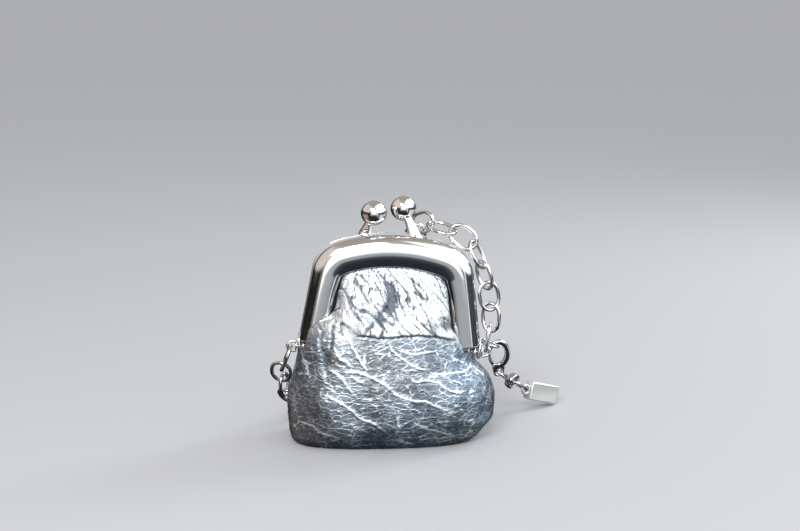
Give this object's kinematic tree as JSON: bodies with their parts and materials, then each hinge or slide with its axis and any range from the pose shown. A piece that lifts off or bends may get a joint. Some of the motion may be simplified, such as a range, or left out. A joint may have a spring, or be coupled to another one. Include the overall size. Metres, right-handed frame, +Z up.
{
  "type": "chain clutch bag",
  "caption": "Miniature frame purse: a hollow silver leather pouch in a hinged channel frame with a ball kiss lock, an oval-link chain, a trigger clasp and a plain bar tag.",
  "frame": {"origin": "middle of the pouch's flat base, on the surface that the bag stands on", "axes": "+Z up, +X to the right seen from the front, -Y towards the front panel"},
  "size_m": [0.0667, 0.0344, 0.0527],
  "materials": {
    "silver_leather": "metallic silver coating over pebbled grain, crumpled, semi-gloss",
    "frame_chrome": "polished nickel plating",
    "chain_metal": "polished nickel-plated wire",
    "clasp_chrome": "polished nickel plating",
    "tag_metal": "polished, softly rounded edges, bare"
  },
  "bodies": {
    "root": {"leather_pouch": "silver_leather", "frame_front": "frame_chrome", "frame_back": "frame_chrome", "hinge_rivet_left": "frame_chrome", "hinge_rivet_right": "frame_chrome", "chain_link_01": "chain_metal", "chain_link_02": "chain_metal", "chain_link_03": "chain_metal", "chain_link_04": "chain_metal", "chain_link_05": "chain_metal", "chain_link_06": "chain_metal", "chain_link_07": "chain_metal", "chain_link_08": "chain_metal", "chain_link_09": "chain_metal", "chain_link_10": "chain_metal", "chain_link_11": "chain_metal", "chain_link_12": "chain_metal", "chain_link_13": "chain_metal", "chain_link_14": "chain_metal", "chain_link_15": "chain_metal", "chain_link_16": "chain_metal", "chain_link_17": "chain_metal", "chain_link_18": "chain_metal", "chain_link_19": "chain_metal", "chain_link_20": "chain_metal", "chain_link_21": "chain_metal", "chain_link_22": "chain_metal", "chain_link_23": "chain_metal", "chain_link_24": "chain_metal", "chain_link_25": "chain_metal", "chain_link_26": "chain_metal", "chain_link_27": "chain_metal", "clasp_ring": "chain_metal", "clasp_hook": "clasp_chrome", "clasp_lever": "clasp_chrome", "metal_tag": "tag_metal", "tag_link_upper": "chain_metal", "tag_band": "chain_metal", "tag_link_lower": "chain_metal"}
  },
  "joints": []
}
